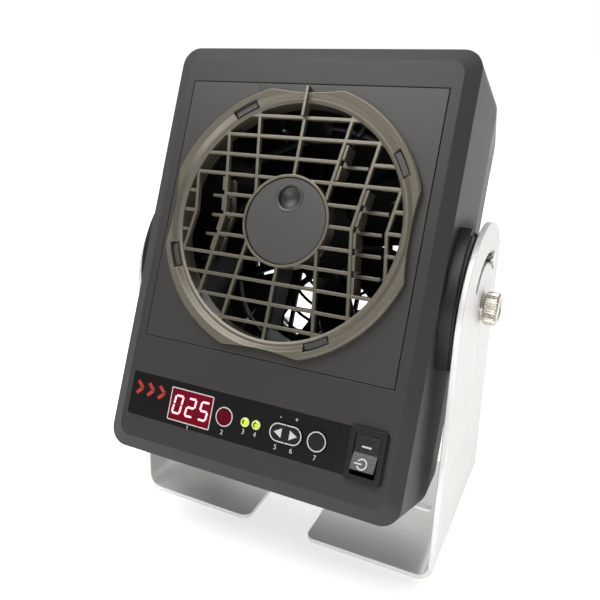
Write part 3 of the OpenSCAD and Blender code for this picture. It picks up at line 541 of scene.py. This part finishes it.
def streaked(name, low, high, roughness, scale, height):
    """A finish between two colours, with its roughness and bump from the same fine noise."""
    material, tree, shader = new_material(name, high, roughness)
    streaks = noise(tree, scale, 4.0)
    set_inputs(
        shader,
        {
            "Base Color": mixed(tree, streaks, low, high),
            "Roughness": ranged(tree, streaks, roughness * 0.8, roughness * 1.25),
        },
    )
    bumped(shader, streaks, height)
    return material


bristle_nylon = streaked(
    "bristle_nylon", (0.66, 0.63, 0.55), (0.88, 0.86, 0.80), 0.5, 2600.0, 0.00002
)
to_face = head_face.inverted()
block = [to_face @ v.co for v in cad["brush"].data.vertices]
low = Vector(min(corner[i] for corner in block) for i in range(3))
high = Vector(max(corner[i] for corner in block) for i in range(3))
bristle_r = 0.17
bristle_taper = 0.7
bristle_sway = 0.4 * bristle_r
block_rim = 1.5 * bristle_r
columns, rows = 8, 11
shape = bmesh.new()
for column in range(columns):
    for row in range(rows):
        across = (column / (columns - 1) - 0.5) * (high.x - low.x - 2 * block_rim)
        up = (row / (rows - 1) - 0.5) * (high.y - low.y - 2 * block_rim)
        across += bristle_sway * math.sin(7 * row + 3 * column)
        strand = bmesh.ops.create_cone(
            shape,
            cap_ends=True,
            segments=6,
            radius1=bristle_r,
            radius2=bristle_r * bristle_taper,
            depth=high.z - low.z,
        )
        middle = (low + high) / 2 + Vector((across, up, 0))
        bmesh.ops.translate(shape, verts=strand["verts"], vec=middle)
bristles = make_piece("brush_bristles", shape, head_face, bristle_nylon, "dial")
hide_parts("brush")

# ---------------------------------------------------------------------------------------
# Fan and emitter: a standard 120 mm axial fan of black glass-filled plastic, behind a ring
# that carries the emitter pins. Its motor is in the hub, and a moulded grille is behind it.

fan_plastic = moulded("fan_plastic", (0.004, 0.004, 0.004), 0.5, 0.0005, 0.00003, gloss=0.05)
dress(fan_plastic, "fan_frame", "fan_rotor", "rear_guard", "emitter_ring")
tungsten = plated("tungsten", (0.085, 0.085, 0.09), 0.34)
dress(tungsten, "emitter_pins")
dress(zinc_steel, "fan_screws", "fan_bearings", "fan_shaft", "rear_guard_screws")

# Rings moulded between the bars of the rear grille, just inside its back
ring_w, ring_depth, ring_inset = 1.6, 1.2, 0.3
grille_back = min((to_face @ v.co).z for v in cad["rear_guard"].data.vertices)
shape = bmesh.new()
for radius in (26, 35, 44, 53):
    arc(shape, radius, radius + ring_w, 0, 180, steps=96)
thicken(shape, ring_depth)
place = at_face(0, fan_up * 1000, grille_back + ring_inset)
make_piece("grille_rings", shape, place, fan_plastic, "head")

copper_winding, tree, shader = new_material("copper_winding", (0.72, 0.36, 0.18), 0.3, 1.0)
place = add(tree, "TexCoord").outputs["Object"]
inputs = {"Vector": place, "Scale": 900.0, "Distortion": 3.0}
wires = add(tree, "TexWave", inputs, bands_direction="Z").outputs["Fac"]
set_inputs(
    shader,
    {
        "Base Color": mixed(tree, wires, (0.45, 0.18, 0.08), (0.80, 0.44, 0.24)),
        "Roughness": ranged(tree, wires, 0.2, 0.45, 0, 1),
    },
)
bumped(shader, wires, 0.0001)
dress(copper_winding, "fan_stator")
dress(moulded("ferrite", (0.045, 0.044, 0.043), 0.5, 0.0003, 0.00004), "fan_magnet")

# ---------------------------------------------------------------------------------------
# Control strip: gloss black film let into the front face, with white lines printed round
# its windows and keys, and plain figures for captions.

film_black, tree, shader = new_material("film_black", (0.0065, 0.006, 0.006), 0.2)
edges, _ = edge_light(tree, 0.0002)
ripple = noise(tree, 60.0, 2.0)
dust = noise(tree, 2200.0, 5.0)
dusty = ranged(tree, dust, 0, 0.5, 0.55, 0.8)
set_inputs(
    shader,
    {
        "Base Color": mixed(tree, dusty, (0.005, 0.0048, 0.0048), (0.008, 0.0075, 0.0072)),
        "Roughness": ranged(tree, dust, 0.27, 0.34),
        "Specular IOR Level": 0.35,
    },
)
bumped(shader, ripple, 0.0002, Strength=0.3, Normal=edges)
dress(film_black, "control_strip")

printed_white = streaked(
    "printed_white", (0.40, 0.395, 0.385), (0.52, 0.52, 0.51), 0.45, 3000.0, 0.00001
)
ink_height = 0.05
line_w = 0.5


def outline(width, height, line, radius=None):
    """A flat line round a rounded rectangle, with its outer edge of the size given. Its ends
    are half circles if no radius is given."""
    shape = bmesh.new()
    steps = 48
    least_straight = 0.01
    radius = radius or min(width, height) / 2 - least_straight
    verts = bmesh.ops.create_circle(shape, cap_ends=True, radius=radius, segments=steps)["verts"]
    half_step = Matrix.Rotation(math.pi / steps, 3, "Z")
    bmesh.ops.rotate(shape, verts=verts, cent=(0, 0, 0), matrix=half_step)
    for vert in verts:
        vert.co.x += math.copysign(width / 2 - radius, vert.co.x)
        vert.co.y += math.copysign(height / 2 - radius, vert.co.y)
    inside = list(shape.faces)
    bmesh.ops.inset_region(
        shape, faces=inside, thickness=line, use_boundary=True, use_even_offset=True
    )
    bmesh.ops.delete(shape, geom=inside, context="FACES")
    return shape


# Lines round the display and the remote receiver, a little larger than their windows
display_at = (-30.8, -72.6)
for name, at, width, height, radius in (
    ("display_line", display_at, 23.7, 15.7, 0.7),
    ("receiver_line", (-12.2, -72.4), 9.0, 9.0, None),
):
    shape = outline(width, height, line_w, radius)
    thicken(shape, ink_height)
    make_piece(name, shape, at_face(*at), printed_white, "head")


def numeral(text, height):
    """A plain figure or sign as a flat shape, centred on its middle."""
    figure_share = 0.7  # a figure's height, as a share of its font size
    curve = bpy.data.curves.new(text, "FONT")
    curve.body = text
    curve.size = height / figure_share
    curve.align_x = "CENTER"
    curve.align_y = "CENTER"
    curve.resolution_u = 3
    written = bpy.data.objects.new(text, curve)
    bpy.context.scene.collection.objects.link(written)
    evaluated = written.evaluated_get(bpy.context.evaluated_depsgraph_get())
    shape = bmesh.new()
    shape.from_mesh(evaluated.to_mesh())
    evaluated.to_mesh_clear()
    bpy.data.objects.remove(written)
    bpy.data.curves.remove(curve)
    bmesh.ops.remove_doubles(shape, verts=shape.verts, dist=1e-5)
    return shape


# What each caption says, and its place across and up the face
caption_height = 2.2
captions = {
    "1": ("1", -30.5, -82.0),
    "2": ("2", -12.0, -79.6),
    "3": ("3", -1.3, -76.6),
    "4": ("4", 4.7, -76.6),
    "minus": ("-", 15.9, -65.6),
    "plus": ("+", 23.6, -65.4),
    "5": ("5", 15.7, -79.3),
    "6": ("6", 23.4, -79.2),
    "7": ("7", 34.8, -79.2),
}
for name, (text, across, up) in captions.items():
    shape = numeral(text, caption_height)
    thicken(shape, ink_height)
    place = at_face(across, up)
    make_piece("caption_" + name, shape, place, printed_white, "head")

# A plain airflow sign, three red chevrons, at the left end of the strip
printed_red = streaked(
    "printed_red", (0.26, 0.016, 0.014), (0.40, 0.035, 0.03), 0.4, 1500.0, 0.00001
)
chevron_pitch, chevron_reach, chevron_rise, chevron_w = 6.4, 1.6, 3.0, 1.7
shape = bmesh.new()
for across in (-chevron_pitch, 0, chevron_pitch):
    for rise in (chevron_rise, -chevron_rise):
        bar(shape, (across - chevron_reach, rise), (across + chevron_reach, 0), chevron_w)
thicken(shape, ink_height)
make_piece("airflow_sign", shape, at_face(-54.5, -69.2), printed_red, "head")

# ---------------------------------------------------------------------------------------
# Display and lamps: three red seven-segment figures behind a tinted window, a red window
# over the remote receiver, and two green lamps. On each lamp's lens lie a pale ring of painted
# highlight round its dome, and a dark crescent: the cup under the dome, darkened on one side
# with painted shade.

glow_red = streaked("glow_red", (0.06, 0.001, 0.004), (0.12, 0.0015, 0.008), 0.14, 260.0, 1e-6)
set_inputs(
    shader_of(glow_red),
    {
        "Emission Color": (0.20, 0.0, 0.014, 1),
        "Emission Strength": 0.33,
        "Specular IOR Level": 0.3,
    },
)
dress(glow_red, "display_window")
dress(black_plastic, "display_module", "ir_sensor")
tinted_red = streaked(
    "tinted_red", (0.06, 0.0015, 0.006), (0.10, 0.003, 0.010), 0.12, 300.0, 1e-6
)
set_inputs(shader_of(tinted_red), {"Specular IOR Level": 0.3})
dress(tinted_red, "ir_window")

segment_lit = streaked("segment_lit", (0.8, 0.2, 0.24), (0.9, 0.3, 0.34), 0.4, 1400.0, 1e-6)
set_inputs(
    shader_of(segment_lit),
    {"Emission Color": (1.0, 0.45, 0.50, 1), "Emission Strength": 1.5},
)
segment_dark = streaked("segment_dark", (0.08, 0, 0.004), (0.12, 0, 0.007), 0.3, 1400.0, 1e-6)

half_w, half_h = 2.05, 4.2
segment_w = 0.95
segment_proud = 0.03
digit_pitch = 7.3
digit_lean = 0.12
segments = {
    "top": ((-half_w, half_h), (half_w, half_h)),
    "middle": ((-half_w, 0), (half_w, 0)),
    "bottom": ((-half_w, -half_h), (half_w, -half_h)),
    "upper_left": ((-half_w, 0), (-half_w, half_h)),
    "upper_right": ((half_w, 0), (half_w, half_h)),
    "lower_left": ((-half_w, -half_h), (-half_w, 0)),
    "lower_right": ((half_w, -half_h), (half_w, 0)),
}
figures = {
    "0": ("top", "bottom", "upper_left", "upper_right", "lower_left", "lower_right"),
    "2": ("top", "middle", "bottom", "upper_right", "lower_left"),
    "5": ("top", "middle", "bottom", "upper_left", "lower_right"),
}
lit, unlit = bmesh.new(), bmesh.new()
for index, figure in enumerate("025"):
    for name, (start, stop) in segments.items():
        shape = lit if name in figures[figure] else unlit
        run = Vector(stop) - Vector(start)
        # A hexagon of the segment's width, drawn out along its run
        cell = bmesh.ops.create_circle(
            shape, cap_ends=True, radius=segment_w / math.sqrt(3), segments=6
        )["verts"]
        for vert in cell:
            vert.co.y += math.copysign(run.length / 2 - segment_w * 0.75, vert.co.y)
        turn = Matrix.Rotation(math.atan2(run.y, run.x) - math.pi / 2, 4, "Z")
        middle = (Vector(start) + Vector(stop)) / 2
        spot = Matrix.Translation((*middle, 0)) @ turn
        bmesh.ops.transform(shape, matrix=spot, verts=cell)
        for vert in cell:
            vert.co.x += digit_lean * vert.co.y + (index - 1) * digit_pitch


def front_of(node):
    """How far a node stands in front of the head's face, in millimetres."""
    return max((to_face @ v.co).z for v in cad[node].data.vertices)


place = at_face(*display_at, front_of("display_window"))
for name, shape, finish in (("lit", lit, segment_lit), ("dark", unlit, segment_dark)):
    thicken(shape, segment_proud)
    make_piece("segments_" + name, shape, place, finish, "head")

lamp_green, tree, shader = new_material("lamp_green", (0.36, 0.46, 0.02), 0.15)
frost = noise(tree, 420.0, 1.0)
bright = ranged(tree, frost, 0, 1, 0.4, 0.6)
set_inputs(
    shader,
    {
        "Emission Color": mixed(tree, bright, (0.10, 0.22, 0.01), (0.62, 0.80, 0.04)),
        "Emission Strength": 0.45,
        "Roughness": ranged(tree, frost, 0.1, 0.25),
    },
)
dress(lamp_green, "status_leds")


def lay_on(shape, place, node, height):
    """Puts a flat shape on a node's surface, straight behind its place on the face. It starts
    from a reach in front and stops a hair's lift above the surface, both in metres."""
    reach, lift = 0.03, 0.00001
    shape.transform(place)
    for vert in shape.verts:
        found, spot, _, _ = cad[node].ray_cast(vert.co + fan_axis * reach, -fan_axis)
        if found:
            vert.co = spot + fan_axis * lift
    thicken(shape, height / 1000, fan_axis)


# Painted highlight: a pale ring round each lamp's dome. The dark crescent is the cup under the
# dome, drawn on one side only with painted shade
lamp_rim_highlight = streaked("lamp_rim_highlight", (0.55, 0.66, 0.36), (0.74, 0.82, 0.55), 0.3, 900.0, 1e-6)
lamp_shaded_cup = streaked("lamp_shaded_cup", (0.012, 0.055, 0.006), (0.03, 0.12, 0.012), 0.2, 900.0, 1e-6)
rim_inner, rim_outer = 1.72, 2.08
cup_outer, cup_middle = 1.25, 172
lamp_mark_height = 0.02
rims, cups = bmesh.new(), bmesh.new()
for centre, cup_inner, half in (((-1.2, -72.3), 0.35, 62), ((4.5, -72.2), 0.55, 85)):
    arc(rims, rim_inner, rim_outer, 0, 180, centre)
    arc(cups, cup_inner, cup_outer, cup_middle, half, centre)
for name, shape, finish in (("lamp_rims", rims, lamp_rim_highlight), ("lamp_cups", cups, lamp_shaded_cup)):
    lay_on(shape, at_face(0, 0), "status_leds", lamp_mark_height)
    make_piece(name, shape, Matrix(), finish, "head")

# ---------------------------------------------------------------------------------------
# Keys: two halves of one oval key and a round one, black with a printed outline that goes
# down with them. Each presses a small switch on the board behind.

key_plastic = moulded(
    "key_plastic", (0.009, 0.009, 0.009), 0.28, 0.0012, 0.00002, edge=0.0003
)
dress(key_plastic, "key_left", "key_right", "clean_button")
keys_at = (19.7, -72.5)
print_w, print_h = 15.6, 8.3
half_split = 0.15
arrow_r, arrow_out = 2.5, 3.2
for side, key in ((-1, "key_left"), (1, "key_right")):
    shape = outline(print_w, print_h, line_w)
    bmesh.ops.bisect_plane(
        shape,
        geom=shape.verts[:] + shape.edges[:] + shape.faces[:],
        plane_co=(side * half_split, 0, 0),
        plane_no=(side, 0, 0),
        clear_inner=True,
    )
    arrow = bmesh.ops.create_circle(shape, cap_ends=True, radius=arrow_r, segments=3)["verts"]
    turn = Matrix.Rotation(-side * math.pi / 2, 4, "Z")
    spot = Matrix.Translation((side * arrow_out, 0, 0)) @ turn
    bmesh.ops.transform(shape, matrix=spot, verts=arrow)
    thicken(shape, ink_height)
    place = at_face(*keys_at, front_of(key))
    make_piece(key + "_print", shape, place, printed_white, key)

button_print = 8.8
shape = outline(button_print, button_print, line_w)
thicken(shape, ink_height)
place = at_face(34.6, -72.1, front_of("clean_button"))
make_piece("clean_button_print", shape, place, printed_white, "clean_button")
dress(zinc_steel, "key_switches", "board_screws")

# ---------------------------------------------------------------------------------------
# Power switch: a snap-in rocker in a black bezel, with a dash and a power sign printed on
# its two faces.

dress(black_plastic, "switch_frame")
rocker_plastic = moulded(
    "rocker_plastic", (0.012, 0.012, 0.012), 0.28, 0.0009, 0.000006, edge=0.0003
)
dress(rocker_plastic, "switch_rocker")
dress(brass, "switch_terminals")

dash_at = (57.2, -68.7)
dash_half, dash_w = 2.1, 0.75
dash = bmesh.new()
bar(dash, (-dash_half, 0), (dash_half, 0), dash_w)
lay_on(dash, at_face(*dash_at), "switch_rocker", ink_height)
make_piece("rocker_dash", dash, Matrix(), printed_white, "rocker")

# The power sign lies on its side: a ring open to the left, with a stroke through the gap
sign_at = (56.8, -75.7)
sign_size, sign_line, gap, stroke = 4.6, 0.6, 0.95, 3.3
power_sign = outline(sign_size, sign_size, sign_line)
for side in (1, -1):
    bmesh.ops.bisect_plane(
        power_sign,
        geom=power_sign.verts[:] + power_sign.edges[:] + power_sign.faces[:],
        plane_co=(0, side * gap, 0),
        plane_no=(0, 1, 0),
    )
opening = [
    face
    for face in power_sign.faces
    if face.calc_center_median().x < 0 and abs(face.calc_center_median().y) < gap
]
bmesh.ops.delete(power_sign, geom=opening, context="FACES")
bar(power_sign, (-stroke, 0), (0, 0), sign_line)
lay_on(power_sign, at_face(*sign_at), "switch_rocker", ink_height)
make_piece("rocker_power_sign", power_sign, Matrix(), printed_white, "rocker")

# ---------------------------------------------------------------------------------------
# Boards and supply: behind the strip and in the foot of the head. The high-voltage block is
# potted in black, and its red silicone lead goes up to the emitter ring.

board_green = streaked(
    "board_green", (0.010, 0.060, 0.022), (0.022, 0.120, 0.040), 0.3, 500.0, 0.00002
)
dress(board_green, "control_board", "power_board")
dress(black_plastic, "hv_module", "power_inlet")
lead_red = streaked("lead_red", (0.30, 0.018, 0.012), (0.42, 0.03, 0.02), 0.5, 900.0, 0.00002)
dress(lead_red, "hv_lead")
dress(brass, "inlet_pins")
dress(nickel, "ground_screw")
